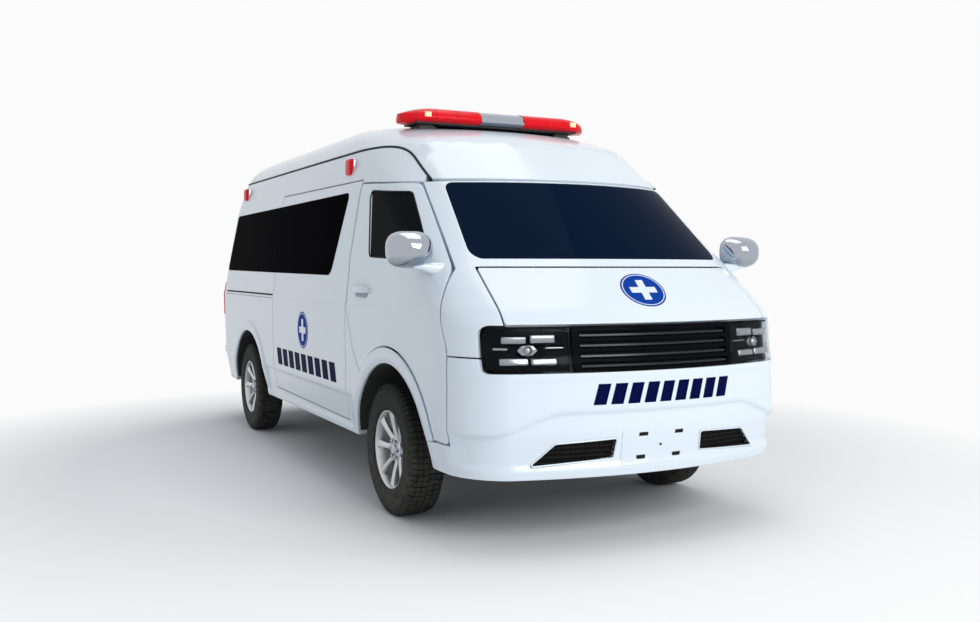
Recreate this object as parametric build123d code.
from build123d import *
from collections import namedtuple
import math
import os

os.makedirs("parts", exist_ok=True)

# The vehicle faces -Y, its right side is -X and the floor it stands on is Z = 0. Millimetres.

# Overall layout
front_overhang = 1150.0
wheelbase = 3110.0
rear_overhang = 1120.0
length = front_overhang + wheelbase + rear_overhang
front_end = -length / 2
rear_end = length / 2
front_axle = front_end + front_overhang
rear_axle = front_axle + wheelbase

# Clearances
door_gap = 8.0
panel_gap = 5.0
seat_gap = 0.3
hinge_gap = 0.4
swing_gap = 6.0

# Walls
wall = 60.0
glass_thick = 8.0
roof_thick = 45.0
skirt_open = 60.0

# Body sections, from the sill up. Widths are from the middle plane. The nose, its corner and the start of
# the flat side are measured back from the front end, the tail is measured forward from the rear end.
Section = namedtuple("Section", "height half_width nose corner_x corner side tail")
body_rows = [
    Section(345, 908, 45, 720, 160, 455, 100),
    Section(550, 932, 0, 742, 128, 450, 72),
    Section(850, 938, 25, 746, 150, 500, 56),
    Section(1035, 940, 55, 746, 168, 530, 50),
    Section(1105, 940, 108, 744, 228, 590, 52),
    Section(1300, 915, 300, 735, 488, 800, 92),
    Section(1740, 868, 790, 680, 1005, 1500, 262),
    Section(1975, 802, 1130, 622, 1310, 1900, 360),
]
roof_rows = [
    Section(1975, 802, 1130, 622, 1310, 1900, 360),
    Section(2080, 742, 1480, 560, 1610, 2150, 430),
    Section(2150, 640, 1900, 470, 1990, 2400, 540),
    Section(2190, 470, 2300, 330, 2370, 2600, 720),
    Section(2205, 300, 2650, 200, 2690, 2800, 900),
]
tail_corner_in = 180.0
tail_corner_drop = 40.0
tail_side_drop = 260.0

# Wheels
tyre_radius = 345.0
tyre_width = 195.0
rim_radius = 190.0
rim_flange_radius = 206.0
hub_radius = 62.0
spoke_count = 8
spoke_width = 46.0
spoke_thick = 26.0
front_track = 1655.0
rear_track = 1650.0
spindle_radius = 22.0
spindle_clearance = 0.3
kingpin_inset = 147.5
kingpin_x = front_track / 2 - kingpin_inset
kingpin_radius = 26.0
kingpin_low = 228.0
kingpin_high = 480.0

# Wheel arches: circles seen from the side, a little below and ahead of the axles
arch_radius = 535.0
arch_centre_z = 265.0
arch_ahead = 40.0
flare_width = 85.0
arch_liner = 30.0
arch_low = 400.0
front_liner_x = 500.0
rear_liner_x = 655.0

# Floor and frame rails
floor_top = 620.0
floor_thick = 60.0
cab_floor_top = 872.0
cab_floor_thick = 47.0
rail_x = 400.0
rail_width = 70.0
rail_height = 80.0
cab_back = 600.0
riser_thick = 30.0


def front(y):
    # place measured back from the front axle
    return front_axle + y


def rear(y):
    # place measured back from the rear axle
    return rear_axle + y


def section_face(row, inset, height):
    # plan section of the body: flat sides, rounded corners, a bowed nose and a bowed tail
    half = row.half_width - inset
    side_y = front_end + row.side
    corner = (row.corner_x - inset, front_end + row.corner + inset)
    nose = (0, front_end + row.nose + inset)
    tail_y = rear_end - row.tail - inset
    tail_side = rear_end - row.tail - tail_side_drop
    tail_corner = (half - tail_corner_in, tail_y - tail_corner_drop)
    edges = [
        Line((half, side_y), (half, tail_side)),
        TangentArc((half, tail_side), tail_corner, tangent=(0, 1)),
        ThreePointArc(tail_corner, (0, tail_y), (-tail_corner[0], tail_corner[1])),
        TangentArc((-half, tail_side), (-tail_corner[0], tail_corner[1]), tangent=(0, 1)),
        Line((-half, tail_side), (-half, side_y)),
        TangentArc((-half, side_y), (-corner[0], corner[1]), tangent=(0, -1)),
        ThreePointArc((-corner[0], corner[1]), nose, corner),
        TangentArc((half, side_y), corner, tangent=(0, -1)),
    ]
    return Pos(0, 0, height) * make_face(edges)


def body_solid(inset, roof_inset, low_drop):
    # the whole body outline moved in by inset: ruled up to the gutter, smooth over the roof
    lower = []
    for row in body_rows:
        low = low_drop if row is body_rows[0] else 0
        lower.append(section_face(row, inset, row.height - low))
    upper = [lower[-1]]
    for row in roof_rows[1:]:
        upper.append(section_face(row, inset, row.height - roof_inset))
    return loft(lower, ruled=True) + loft(upper)


def outline_face(points):
    # a flat face from its corner points, with its front side up whichever way the points go round
    face = make_face(Polyline(*points, close=True)).face()
    return face if face.normal_at().Z > 0 else -face


def side_prism(points, x_low, x_high, corner=0.0, shrink=0.0):
    # a prism across the vehicle from an outline of (y, z) points
    face = outline_face(points)
    if corner > 0:
        face = fillet(face.vertices(), corner)
    if shrink > 0:
        face = offset(face, -shrink, kind=Kind.INTERSECTION)
    plane = Plane(origin=(x_low, 0, 0), x_dir=(0, 1, 0), z_dir=(1, 0, 0))
    return extrude(plane * face, x_high - x_low, dir=(1, 0, 0))


def nose_prism(points, y_low, y_high, corner=0.0, shrink=0.0):
    # a prism along the vehicle from an outline of (x, z) points
    face = outline_face(points)
    if corner > 0:
        face = fillet(face.vertices(), corner)
    if shrink > 0:
        face = offset(face, -shrink, kind=Kind.INTERSECTION)
    plane = Plane(origin=(0, y_high, 0), x_dir=(1, 0, 0), z_dir=(0, -1, 0))
    return extrude(plane * face, y_high - y_low, dir=(0, -1, 0))


def block(x_low, x_high, y_low, y_high, z_low, z_high):
    # a box from its low and high places on each axis
    size = (x_high - x_low, y_high - y_low, z_high - z_low)
    middle = ((x_low + x_high) / 2, (y_low + y_high) / 2, (z_low + z_high) / 2)
    return Pos(*middle) * Box(*size)


def across(radius, x_low, x_high, y, z):
    # a round bar across the vehicle
    return Pos((x_low + x_high) / 2, y, z) * Rot(0, 90, 0) * Cylinder(radius, x_high - x_low)


def along(radius, x, y_low, y_high, z):
    # a round bar along the vehicle
    return Pos(x, (y_low + y_high) / 2, z) * Rot(90, 0, 0) * Cylinder(radius, y_high - y_low)


def sided(side, near, far):
    # two places measured out from the middle plane, as low and high x on one side
    return sorted((side * near, side * far))


def mirror_pair(x_span, y_low, y_high, z_span):
    # the same block on both sides
    shape = None
    for side in (1, -1):
        one = block(*sided(side, *x_span), y_low, y_high, *z_span)
        shape = one if shape is None else shape + one
    return shape


def upright(radius, x, y, z_low, z_high):
    return Pos(x, y, (z_low + z_high) / 2) * Cylinder(radius, z_high - z_low)


def save(shape, name):
    export_step(Compound(label=name, children=list(shape.solids())), "parts/" + name + ".step")


# Reach of the cutting shapes: well past the body on every side
wide = 1300.0
tall = 2500.0
ahead = front_end - 150.0
behind = rear_end + 150.0

# Body shell
outer = body_solid(0, 0, 0)
inner = body_solid(wall, roof_thick, skirt_open)
glazing = outer - body_solid(glass_thick, glass_thick, skirt_open)
shell = outer - inner

# The gutter line: along the roof edge, then down the edge of the cap to the top of the windscreen
windscreen_top = 1745.0
gutter_rows = [
    (ahead, windscreen_top),
    (front(-90), 1752),
    (front(60), 1840),
    (front(220), 1935),
    (front(380), 1974),
    (rear(710), 2000),
    (behind, 2000),
]
cap_zone = side_prism(gutter_rows + [(behind, tall), (ahead, tall)], -wide, wide)
roof = shell & cap_zone
lower_shell = shell - cap_zone

sill_low = 345.0

# Front doors: the outline of the opening from the side, from the front lower corner up and round
door_front_low = (front(-765), 484)
door_rows = [
    door_front_low,
    (front(-756), 920),
    (front(-613), 1291),
    (front(-60), 1742),
    (front(564), 1782),
    (front(650), 1359),
    (front(629), 1091),
    (front(510), 830),
    (front(360), 670),
    (front(200), 484),
]
door_corner = 18.0
inner_arch_gap = 20.0
inner_arch_x = 918.0
pad_back = front(-600)
door_pad_rows = [(880, 930), (1130, 1200)]
arch_y = {"front": front(-arch_ahead), "rear": rear(-arch_ahead)}
flare_radius = arch_radius + flare_width


def arch_bar(radius, axle):
    return across(radius, -wide, wide, arch_y[axle], arch_centre_z)


door_opening = side_prism(door_rows, -wide, wide) - arch_bar(flare_radius, "front")
door_shape = side_prism(door_rows, -wide, wide, corner=door_corner, shrink=door_gap)
door_shape -= arch_bar(flare_radius + door_gap, "front")
door_shape -= across(flare_radius + inner_arch_gap, -inner_arch_x, inner_arch_x, arch_y["front"], arch_centre_z)
door_near = side_prism(door_rows, -wide, wide, shrink=door_gap - hinge_gap)
door_pads = (door_opening - door_near) & lower_shell
pad_zones = [block(-wide, wide, front_end, pad_back, low, high) for low, high in door_pad_rows]
door_pads &= pad_zones[0] + pad_zones[1]

rail_slot_z = 1100.0
rail_slot_height = 16.0
rail_slot_depth = 22.0
slot_skin_x = 940.0

# Sliding door: it follows the rear edge of the front door, no joint
sliding_rows = [
    (front(564), 1800),
    (front(2290), 1815),
    (front(2290), 425),
    (front(655), 405),
    (front(645), 470),
    (front(629), 1091),
    (front(650), 1359),
]
slide_corner = 12.0
sliding_opening = side_prism(sliding_rows, -wide, 0)
sliding_shape = side_prism(sliding_rows, -wide, 0, corner=slide_corner, shrink=panel_gap)

# Windows seen from the side
door_window_rows = [(front(-470), 1325), (front(330), 1355), (front(410), 1726), (front(-50), 1690)]
front_pane_rows = [(front(1000), 1262), (front(2245), 1275), (front(2195), 1722), (front(765), 1725)]
rear_pane_rows = [(front(2297), 1278), (rear(790), 1290), (rear(560), 1722), (front(2245), 1722)]
window_corner = 40.0

door_window = side_prism(door_window_rows, -wide, wide, corner=window_corner)
front_pane = side_prism(front_pane_rows, -wide, wide, corner=window_corner)
rear_pane = side_prism(rear_pane_rows, -wide, wide, corner=window_corner)

# The nose: everything ahead of the front doors
nose_back = front(-50)
below_sill = 200.0
nose_zone = side_prism([
    (ahead, below_sill),
    (front(-arch_ahead - arch_radius), below_sill),
    (front(-arch_ahead - arch_radius), 484),
    door_front_low,
    (front(-756), 920),
    (front(-613), 1291),
    (front(-60), 1742),
    (front(-60), tall),
    (ahead, tall),
], -wide, wide)
bumper_top = 828.0
band_top = 1035.0
lamp_inner_x = 450.0
lamp_outer_x = 835.0
bonnet_rows = [(-746, band_top), (746, band_top), (736, 1302), (-736, 1302)]
windscreen_rows = [(-732, 1338), (732, 1338), (670, 1735), (-670, 1735)]
windscreen_corner = 35.0
nose_shell = lower_shell & nose_zone
bumper_zone = block(-wide, wide, ahead, nose_back, below_sill, bumper_top)
band_zone = block(-lamp_inner_x, lamp_inner_x, ahead, nose_back, bumper_top, band_top)
lamp_zone = block(-lamp_outer_x, lamp_outer_x, ahead, nose_back, bumper_top, band_top) - band_zone
bonnet_opening = nose_prism(bonnet_rows, ahead, nose_back)
bonnet_shape = nose_prism(bonnet_rows, ahead, nose_back, shrink=door_gap)
windscreen_cut = nose_prism(windscreen_rows, ahead, nose_back, corner=windscreen_corner)

# Front bumper with two intakes, plate holes and a towing eye thread
intake_rows = [(240, 422), (640, 403), (530, 508), (232, 521)]
intake_corner = 14.0
plate_z = 475.0
plate_hole_radius = 4.0
plate_pitch_x = 200.0
plate_pitch_z = 110.0
tow_radius = 11.0
tow_x = -480.0
tow_z = 640.0
nose_hole_back = front_end + 300.0
front_bumper = (nose_shell & bumper_zone) - arch_bar(arch_radius, "front")
for side in (1, -1):
    points = [(side * x, z) for x, z in intake_rows]
    front_bumper -= nose_prism(points, ahead, nose_back, corner=intake_corner)
for x in (-plate_pitch_x / 2, plate_pitch_x / 2):
    for z in (plate_z - plate_pitch_z / 2, plate_z + plate_pitch_z / 2):
        front_bumper -= along(plate_hole_radius, x, ahead, nose_hole_back, z)
front_bumper -= along(tow_radius, tow_x, ahead, nose_hole_back, tow_z)

grille_band = nose_shell & band_zone
headlamps = nose_shell & lamp_zone
bonnet = nose_shell & bonnet_shape
windscreen = glazing & windscreen_cut
bonnet_pad_x = (440, 520)
bonnet_pad_z = (1280, 1310)
bonnet_near = nose_prism(bonnet_rows, ahead, nose_back, shrink=door_gap - hinge_gap)
bonnet_pads = mirror_pair(bonnet_pad_x, front_end, nose_back, bonnet_pad_z)
bonnet_opening -= (bonnet_opening - bonnet_near) & bonnet_pads
front_frame = nose_shell - bumper_zone - band_zone - lamp_zone - bonnet_opening - windscreen_cut
front_frame += door_pads

# Rear: tailgate with its window, lamps and bumper
tail_zone_y = rear(520)
gate_rows = [(-752, 632), (752, 632), (752, 1190), (668, 1985), (-668, 1985), (-752, 1190)]
gate_window_rows = [(-640, 1290), (640, 1290), (585, 1800), (-585, 1800)]
gate_corner = 30.0
gate_pad_x = (360, 460)
gate_pad_z = (1960, 2000)
gate_opening = nose_prism(gate_rows, tail_zone_y, behind, corner=gate_corner)
gate_shape = nose_prism(gate_rows, tail_zone_y, behind, corner=gate_corner, shrink=door_gap)
gate_near = nose_prism(gate_rows, tail_zone_y, behind, corner=gate_corner, shrink=door_gap - hinge_gap)
gate_opening -= (gate_opening - gate_near) & mirror_pair(gate_pad_x, tail_zone_y, rear_end, gate_pad_z)
gate_window = nose_prism(gate_window_rows, tail_zone_y, behind, corner=window_corner)
lamp_low = 890.0
lamp_high = 1180.0
lamp_in = 775.0
lamp_length = 200.0
tail_lamp_zone = block(-wide, wide, rear_end - lamp_length, behind, lamp_low, lamp_high)
tail_lamp_zone -= block(-lamp_in, lamp_in, tail_zone_y, behind, lamp_low, lamp_high)
rear_bumper_top = 620.0
rear_bumper_low = 375.0
rear_bumper_y = rear_end - 330.0
rear_bumper_depth = 100.0
rear_bumper_zone = block(-wide, wide, rear_bumper_y, behind, below_sill, rear_bumper_top)

rear_shell = lower_shell - nose_zone - door_opening - rear_bumper_zone
tail_lamps = rear_shell & tail_lamp_zone
tailgate = (rear_shell & gate_shape) - gate_window
tailgate_glass = glazing & gate_window
rear_shell = rear_shell - tail_lamp_zone - gate_opening - arch_bar(arch_radius, "rear")

bumper_row = Section(rear_bumper_low, 934, 0, 740, 130, 450, 0)
rear_bumper = extrude(section_face(bumper_row, 0, rear_bumper_low), rear_bumper_top - rear_bumper_low - seat_gap)
rear_bumper -= extrude(section_face(bumper_row, rear_bumper_depth, 0), rear_bumper_top * 2)
rear_bumper &= block(-wide, wide, rear_bumper_y, behind, 0, rear_bumper_top)
rear_bumper -= along(tow_radius, tow_x, rear_bumper_y, behind, (rear_bumper_low + rear_bumper_top) / 2)

# Sides. The front wheel arches are the raised rings below the front doors.
side_split_x = 100.0
right_half = block(-wide, -side_split_x, ahead, behind, 0, tall)
left_half = block(side_split_x, wide, ahead, behind, 0, tall)
right_shell = lower_shell & right_half
left_shell = lower_shell & left_half
front_ring_zone = arch_bar(flare_radius, "front") - arch_bar(arch_radius, "front")
front_ring_zone -= block(-wide, wide, ahead, behind, -tall, sill_low)
front_arches = rear_shell & front_ring_zone
side_shell = rear_shell - arch_bar(flare_radius, "front")

rail_slot_end = rear(740)
rail_slot = block(-wide, rail_slot_depth - slot_skin_x, front(2290), rail_slot_end,
                  rail_slot_z - rail_slot_height / 2, rail_slot_z + rail_slot_height / 2)
side_wall_right = (side_shell & right_half) - sliding_opening - rear_pane - rail_slot
side_wall_left = (side_shell & left_half) - front_pane - rear_pane
sliding_door = (right_shell & sliding_shape) - front_pane - rear_pane
front_door_right = (right_shell & door_shape) - door_window
front_door_left = (left_shell & door_shape) - door_window
door_glass_right = glazing & door_window & right_half
door_glass_left = glazing & door_window & left_half
side_panes = []
for half in (right_half, left_half):
    for pane in (front_pane, rear_pane):
        side_panes += list((glazing & pane & half).solids())

# Floor: load floor, raised cab floor, rails, wheel wells and the panel between cab and nose
cab_front = front(-800)
firewall_thick = 20.0
firewall_top = 1240.0
bonnet_swing_room = 15.0
firewall_inset = wall + bonnet_swing_room
scuttle_row = body_rows[5]
floor_back = rear_end - 120.0
well_top = 1400.0
firewall_back = front(-500)
firewall_lap = 5.0
floor_edge = inner & block(-wide, wide, cab_front, floor_back, 0, well_top)
floor_slab = block(-wide, wide, front(cab_back - riser_thick), floor_back, floor_top - floor_thick, floor_top)
cab_slab = block(-wide, wide, cab_front, front(cab_back), cab_floor_top - cab_floor_thick, cab_floor_top)
riser = block(-wide, wide, front(cab_back - riser_thick), front(cab_back), floor_top - floor_thick, cab_floor_top)
cab_plan = extrude(section_face(scuttle_row, firewall_inset, 0), tall)
dash_plan = extrude(section_face(scuttle_row, firewall_inset + firewall_thick, 0), tall)
firewall = cab_plan - dash_plan
firewall &= block(-wide, wide, front_end, firewall_back, cab_floor_top - firewall_lap, firewall_top)
cab_trim = body_solid(wall + swing_gap, roof_thick, skirt_open)
floor_pan = (floor_slab & floor_edge) + ((cab_slab + riser + firewall) & cab_trim)
liner_x = max(row.half_width for row in body_rows) - wall
for axle, liner_low_x in (("front", front_liner_x), ("rear", rear_liner_x)):
    for side in (1, -1):
        x_low, x_high = sided(side, liner_low_x, liner_x)
        hollow = across(arch_radius, x_low, x_high, arch_y[axle], arch_centre_z)
        plate_x = sided(side, liner_low_x, liner_low_x - arch_liner / 2)
        cover = across(arch_radius + arch_liner, x_low, x_high, arch_y[axle], arch_centre_z)
        plate = across(arch_radius + arch_liner, plate_x[0], plate_x[1], arch_y[axle], arch_centre_z)
        well = (cover - hollow + plate) & block(-wide, wide, front_end, rear_end, arch_low, well_top)
        floor_pan = floor_pan - hollow + (well & (cab_trim if axle == "front" else inner))
rail_top = floor_top - floor_thick
rail_bottom = rail_top - rail_height
rail_front = front(-720)
rail_back = rear_end - 160.0
rail_span = (rail_x, rail_x + rail_width)
floor_pan += mirror_pair(rail_span, rail_front, rail_back, (rail_bottom, rail_top))
floor_pan += mirror_pair(rail_span, rail_front, front(cab_back - riser_thick),
                         (rail_top, cab_floor_top - cab_floor_thick))
floor_pan -= rear_bumper

# Cab: dashboard with a steering column stub, two seats, bulkhead
dash_back = front(-420)
dash_low = 1010.0
dash_high = 1262.0
column_x = 400.0
column_tilt = 32.0
column_centre = (column_x, front(-330), 1318)
column_radius = 32.0
column_gap = 0.5
wheel_ring_radius = 185.0
wheel_ring_thick = 15.0
wheel_hub_radius = 46.0
wheel_spoke_half = 14.0
wheel_drop = 60.0
column_plane = Plane(origin=column_centre, x_dir=(1, 0, 0),
                     z_dir=(0, math.sin(math.radians(column_tilt)), math.cos(math.radians(column_tilt))))
dash_zone = dash_plan & block(-wide, wide, front_end, dash_back, dash_low, dash_high)
dashboard = dash_zone & cab_trim
column_length = 180.0
column_place = -wheel_drop - column_gap - column_length / 2
dashboard += column_plane * Pos(0, 0, column_place) * Cylinder(column_radius, column_length)

wheel_hub_depth = 50.0
wheel_spoke_thick = 12.0
wheel_spoke_count = 3
wheel_shaft_radius = 22.0
steering_wheel = Torus(wheel_ring_radius, wheel_ring_thick)
steering_wheel += Pos(0, 0, -wheel_hub_depth / 2) * Cylinder(wheel_hub_radius, wheel_hub_depth)
for number in range(wheel_spoke_count):
    spoke = Box(2 * wheel_spoke_half, wheel_ring_radius, wheel_spoke_thick,
                align=(Align.CENTER, Align.MIN, Align.MAX))
    steering_wheel += Rot(0, 0, 180 + number * 360 / wheel_spoke_count) * spoke
steering_wheel += Pos(0, 0, -wheel_drop / 2) * Cylinder(wheel_shaft_radius, wheel_drop)
steering_wheel = column_plane * steering_wheel

seat_x = 420.0
seat_width = 500.0
seat_front = front(-60)
seat_back = front(440)
seat_base_top = 1010.0
cushion_top = 1135.0
backrest_top = 1640.0
headrest_top = 1790.0
pedestal_in = 60.0
pedestal_short = 40.0
cushion_corner = 60.0
backrest_in = 10.0
backrest_rows = [
    (seat_back - 90, cushion_top),
    (seat_back + 40, cushion_top),
    (seat_back + 130, backrest_top),
    (seat_back + 20, backrest_top),
]
headrest_gap = 40.0
headrest_half = 130.0
headrest_y = (seat_back + 30, seat_back + 120)
headrest_corner = 40.0
post_half = 60.0
post_y = (seat_back + 60, seat_back + 90)
post_lap = 10.0


def seat(x):
    half = seat_width / 2
    foot_x = half - pedestal_in
    shape = block(x - foot_x, x + foot_x, seat_front + pedestal_short, seat_back - pedestal_short,
                  cab_floor_top, seat_base_top)
    cushion = block(x - half, x + half, seat_front, seat_back, seat_base_top, cushion_top)
    shape += fillet(cushion.edges().filter_by(Axis.Z), cushion_corner)
    shape += side_prism(backrest_rows, x - half + backrest_in, x + half - backrest_in)
    head_low = backrest_top + headrest_gap
    shape += block(x - post_half, x + post_half, *post_y, backrest_top - post_lap, head_low)
    head = block(x - headrest_half, x + headrest_half, *headrest_y, head_low, headrest_top)
    return shape + fillet(head.edges().filter_by(Axis.Y), headrest_corner)


front_seats = Compound(children=[seat(seat_x), seat(-seat_x)])

bulkhead_y = front(665)
bulkhead_thick = 35.0
bulkhead_window_half = 330.0
bulkhead_window_z = (1250.0, 1750.0)
cabin = body_solid(wall + seat_gap, roof_thick + seat_gap, skirt_open)
bulkhead = cabin & block(-wide, wide, bulkhead_y, bulkhead_y + bulkhead_thick, floor_top, tall)
bulkhead -= block(-bulkhead_window_half, bulkhead_window_half, ahead, behind, *bulkhead_window_z)

# Care space: a bench on the left wheel well side, a cabinet on the right behind the sliding door
bench_y = (front(1100), rear(240))
bench_x = (440.0, 860.0)
bench_top = 1010.0
bench_back_x = (770.0, 830.0)
bench_back_top = 1240.0
cabinet_x = (480.0, 850.0)
cabinet_y = (rear(-620), rear(700))
cabinet_top = 1230.0
well_gap = 1.0
rear_well = arch_bar(arch_radius + arch_liner + well_gap, "rear")
attendant_bench = block(*bench_x, *bench_y, floor_top, bench_top)
attendant_bench += block(*bench_back_x, *bench_y, bench_top, bench_back_top)
attendant_bench -= rear_well
equipment_cabinet = block(*sided(-1, *cabinet_x), *cabinet_y, floor_top, cabinet_top)
equipment_cabinet -= rear_well

# Wheels: tyre, rim and hub are turned about the axle, spokes by a loop


def turned(points, x_sign):
    # a ring turned about the wheel's axle from (out, radius) points, out measured from the middle plane
    face = make_face(Polyline(*[(out * x_sign, radius) for out, radius in points], close=True))
    return revolve(face, Axis.X)


half_tyre = tyre_width / 2
bead_x = half_tyre - 14.0
seat_x_out = half_tyre - 22.0
flange_x = half_tyre - 10.0
side_bulge = 45.0
sidewall_x = half_tyre - 2.0
sidewall_radius = tyre_radius - 50.0
shoulder_x = half_tyre - 24.0
shoulder_drop = 9.0
tread_x = half_tyre - 50.0
tyre_half_rows = [
    (bead_x, rim_flange_radius), (half_tyre, rim_flange_radius + side_bulge), (sidewall_x, sidewall_radius),
    (shoulder_x, tyre_radius - shoulder_drop), (tread_x, tyre_radius),
]
tyre_rows = [(-x, radius) for x, radius in tyre_half_rows]
tyre_rows += [(x, radius) for x, radius in reversed(tyre_half_rows)]
tyre_rows += [(seat_x_out, rim_radius), (-seat_x_out, rim_radius)]
barrel = 9.0
rim_edge = rim_flange_radius - seat_gap
rim_rows = [
    (-flange_x, rim_edge), (-flange_x, rim_radius - barrel), (flange_x, rim_radius - barrel),
    (flange_x, rim_edge), (bead_x, rim_edge), (seat_x_out, rim_radius - seat_gap),
    (-seat_x_out, rim_radius - seat_gap), (-bead_x, rim_edge),
]
hub_out = half_tyre - 14.0
hub_in = -20.0
spoke_out = half_tyre - 22.0
bore_depth = 60.0
bore_open = 1.0


def wheel(x_middle, y):
    x_sign = 1 if x_middle > 0 else -1
    place = Pos(x_middle, y, tyre_radius)
    tyre = place * turned(tyre_rows, x_sign)
    rim = turned(rim_rows, x_sign)
    rim += across(hub_radius, *sided(x_sign, hub_in, hub_out), 0, 0)
    spoke_x = sided(x_sign, spoke_out - spoke_thick, spoke_out)
    spoke = block(*spoke_x, -spoke_width / 2, spoke_width / 2, 0, rim_radius - barrel / 2)
    for number in range(spoke_count):
        rim += Rot(number * 360 / spoke_count, 0, 0) * spoke
    bore_x = sided(x_sign, hub_in - bore_open, hub_in + bore_depth)
    rim -= across(spindle_radius + spindle_clearance, *bore_x, 0, 0)
    return tyre, place * rim


# Front axle: knuckles turn on upright kingpins between a lower arm and a strut
spindle_short = 2.0
collar_radius = spindle_radius + 16.0


def knuckle(side):
    spindle_end = front_track / 2 + hub_in + bore_depth - spindle_short
    shape = upright(kingpin_radius, side * kingpin_x, front_axle, kingpin_low, kingpin_high)
    shape += across(spindle_radius, *sided(side, kingpin_x, spindle_end), front_axle, tyre_radius)
    collar_end = front_track / 2 + hub_in - spindle_short
    shape += across(collar_radius, *sided(side, kingpin_x, collar_end), front_axle, tyre_radius)
    return shape


beam_half_x = rail_x + rail_width
beam_z = (222.0, 288.0)
beam_half_y = 55.0
post_half_y = 40.0
post_sink = 5.0
arm_half_y = 35.0
arm_lap = 60.0
arm_past_pin = 20.0
arm_z = (190.0, kingpin_low - column_gap)
strut_radius = 30.0
strut_top = 860.0
front_suspension = block(-beam_half_x, beam_half_x, front_axle - beam_half_y, front_axle + beam_half_y, *beam_z)
front_suspension += mirror_pair(rail_span, front_axle - post_half_y, front_axle + post_half_y,
                                (beam_z[1] - post_sink, rail_bottom))
front_suspension += mirror_pair((beam_half_x - arm_lap, kingpin_x + arm_past_pin),
                                front_axle - arm_half_y, front_axle + arm_half_y, arm_z)
struts = []
for side in (1, -1):
    strut = upright(strut_radius, side * kingpin_x, front_axle, kingpin_high + column_gap, strut_top) - floor_pan
    struts.append(sorted(strut.solids(), key=lambda part: part.center().Z)[0])
front_suspension = Compound(children=list(front_suspension.solids()) + struts)

# Rear axle: tube, final drive, spindles and two leaf springs under the rails
axle_tube = 45.0
axle_end_x = rear_track / 2 + hub_in - spindle_short
rear_axle_beam = across(axle_tube, -axle_end_x, axle_end_x, rear_axle, tyre_radius)
spindle_x = rear_track / 2 + hub_in + bore_depth - spindle_short
rear_axle_beam += across(spindle_radius, -spindle_x, spindle_x, rear_axle, tyre_radius)
drive_radius = 130.0
drive_half = 75.0
nose_radius = 62.0
nose_length = 175.0
rear_axle_beam += across(drive_radius, -drive_half, drive_half, rear_axle, tyre_radius)
rear_axle_beam += along(nose_radius, 0, rear_axle - nose_length, rear_axle, tyre_radius)
spring_half = 620.0
spring_thick = 28.0
spring_lap = 4.0
spring_mid_z = tyre_radius + axle_tube - spring_lap
spring_end_z = rail_bottom - spring_thick
spring_drop = spring_end_z - spring_mid_z
spring_radius = (spring_half ** 2 + spring_drop ** 2) / (2 * spring_drop)
for side in (1, -1):
    x_low, x_high = sided(side, *rail_span)
    leaf = across(spring_radius, x_low, x_high, rear_axle, spring_mid_z + spring_radius)
    leaf -= across(spring_radius - spring_thick, x_low, x_high, rear_axle, spring_mid_z + spring_radius)
    rear_axle_beam += leaf & block(x_low, x_high, rear_axle - spring_half, rear_axle + spring_half, 0, rail_bottom)

# Heavy and hanging masses below the floor
engine_half = 280.0
engine_y = (front(-240), front(560))
engine_block = block(-engine_half, engine_half, *engine_y, beam_z[1], cab_floor_top - cab_floor_thick)
shaft_radius = 36.0
shaft_ends = (engine_y[1] + seat_gap, rear_axle - nose_length - seat_gap)
propeller_shaft = along(shaft_radius, 0, *shaft_ends, tyre_radius)
tank_x = (90.0, 370.0)
tank_y = (front(950), front(2050))
tank_low = 350.0
tank_corner = 40.0
fuel_tank = block(*sided(-1, *tank_x), *tank_y, tank_low, rail_top)
fuel_tank = fillet(fuel_tank.edges().filter_by(Axis.Y), tank_corner)
exhaust_x = 255.0
exhaust_z = 462.0
pipe_radius = 25.0
pipe_end = rear_end - 200.0
silencer_radius = 78.0
silencer_y = (front(1500), front(2050))
hanger_half = 15.0
hanger_long = 20.0
hanger_rows = [front(1400), front(2300), rear(750)]
exhaust = along(pipe_radius, exhaust_x, engine_y[1] + seat_gap, pipe_end, exhaust_z)
exhaust += along(silencer_radius, exhaust_x, *silencer_y, exhaust_z)
for y in hanger_rows:
    exhaust += block(exhaust_x - hanger_half, exhaust_x + hanger_half, y, y + hanger_long, exhaust_z, rail_top)
flap_thick = 8.0
flap_gap = 8.0
flap_x = (700.0, 850.0)
flap_low = 175.0
arch_reach = math.sqrt(arch_radius ** 2 - (arch_low - arch_centre_z) ** 2)
mud_flaps = []
for axle in ("front", "rear"):
    flap_y = arch_y[axle] + arch_reach + flap_gap
    for side in (1, -1):
        mud_flaps.append(block(*sided(side, *flap_x), flap_y, flap_y + flap_thick, flap_low, arch_low))

# Light bar on the roof, beacons on the sides, mirrors on the doors
bar_y = front(610)
bar_half_x = 620.0
bar_half_y = 150.0
bar_low = 2138.0
bar_high = 2230.0
light_bar = block(-bar_half_x, bar_half_x, bar_y - bar_half_y, bar_y + bar_half_y, bar_low, bar_high)
bar_end_round = 120.0
foot_x = (405.0, 505.0)
foot_half_y = 60.0
foot_low = 2000.0
foot_lap = 5.0
light_bar = fillet(light_bar.edges().filter_by(Axis.Z), bar_end_round)
light_bar += mirror_pair(foot_x, bar_y - foot_half_y, bar_y + foot_half_y, (foot_low, bar_low + foot_lap))
light_bar -= outer
beacon_half = 56.0
beacon_x = (780.0, 848.0)
beacon_rows = [(front(850), 1893), (rear(420), 1905)]
side_beacons = []
for side in (1, -1):
    for y, z in beacon_rows:
        beacon = block(*sided(side, *beacon_x), y - beacon_half, y + beacon_half, z - beacon_half, z + beacon_half)
        side_beacons += list((beacon - outer).solids())
mirror_x = (905.0, 1105.0)
mirror_y = (front(-600), front(-440))
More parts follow.
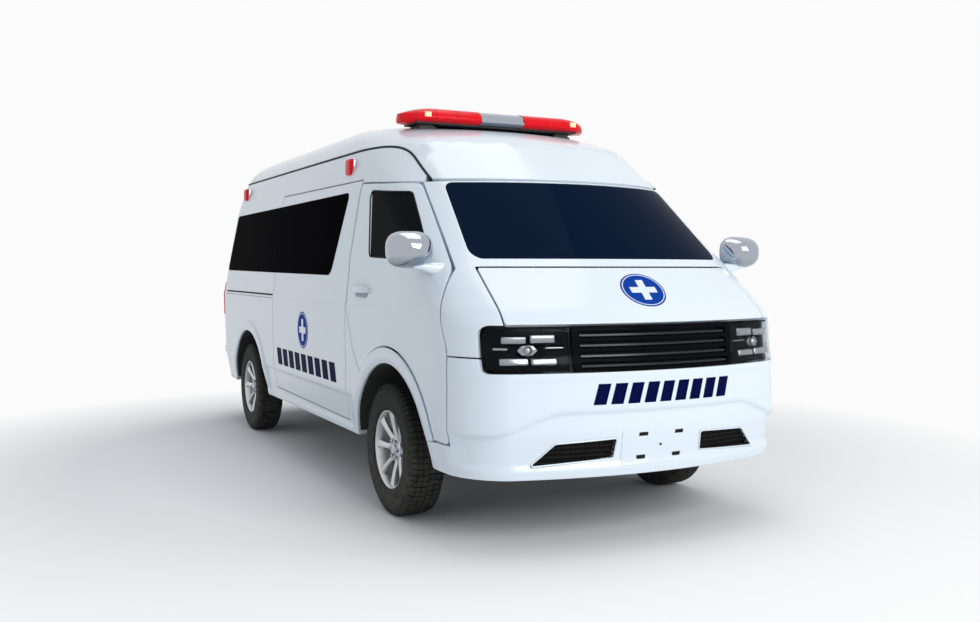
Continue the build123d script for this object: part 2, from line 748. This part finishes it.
mirror_z = (1290.0, 1470.0)
mirror_corner = 50.0
arm_x = (700.0, 1000.0)
arm_y = (front(-560), front(-500))
mirror_arm_z = (1262.0, 1310.0)


def mirror(side):
    # head and arm, seated on the front corner of the door
    head = block(*sided(side, *mirror_x), *mirror_y, *mirror_z)
    head = fillet(head.edges().filter_by(Axis.Y), mirror_corner)
    return head + (block(*sided(side, *arm_x), *arm_y, *mirror_arm_z) - outer)


nodes = {
    "roof": roof, "front_frame": front_frame, "front_bumper": front_bumper, "grille_band": grille_band,
    "headlamps": headlamps, "bonnet": bonnet, "windscreen": windscreen, "tail_lamps": tail_lamps,
    "tailgate": tailgate, "tailgate_glass": tailgate_glass, "rear_bumper": rear_bumper,
    "front_arches": front_arches, "side_wall_right": side_wall_right, "side_wall_left": side_wall_left,
    "sliding_door": sliding_door, "front_door_right": front_door_right, "front_door_left": front_door_left,
    "door_glass_right": door_glass_right, "door_glass_left": door_glass_left,
    "side_glass": Compound(children=side_panes), "floor_pan": floor_pan, "dashboard": dashboard,
    "steering_wheel": steering_wheel, "front_seats": front_seats, "bulkhead": bulkhead,
    "attendant_bench": attendant_bench, "equipment_cabinet": equipment_cabinet,
    "knuckle_right": knuckle(-1), "knuckle_left": knuckle(1), "front_suspension": front_suspension,
    "rear_axle": rear_axle_beam, "engine_block": engine_block, "propeller_shaft": propeller_shaft,
    "fuel_tank": fuel_tank, "exhaust": exhaust, "mud_flaps": Compound(children=mud_flaps),
    "light_bar": light_bar, "side_beacons": Compound(children=side_beacons),
    "mirror_right": mirror(-1), "mirror_left": mirror(1),
}
for end, axle_y, track in (("front", front_axle, front_track), ("rear", rear_axle, rear_track)):
    for hand, side in (("right", -1), ("left", 1)):
        tyre, rim = wheel(side * track / 2, axle_y)
        nodes["tyre_" + end + "_" + hand] = tyre
        nodes["rim_" + end + "_" + hand] = rim

for name, shape in nodes.items():
    print(name, len(shape.solids()), [round(part.volume / 1e6, 3) for part in shape.solids()])
    save(shape, name)
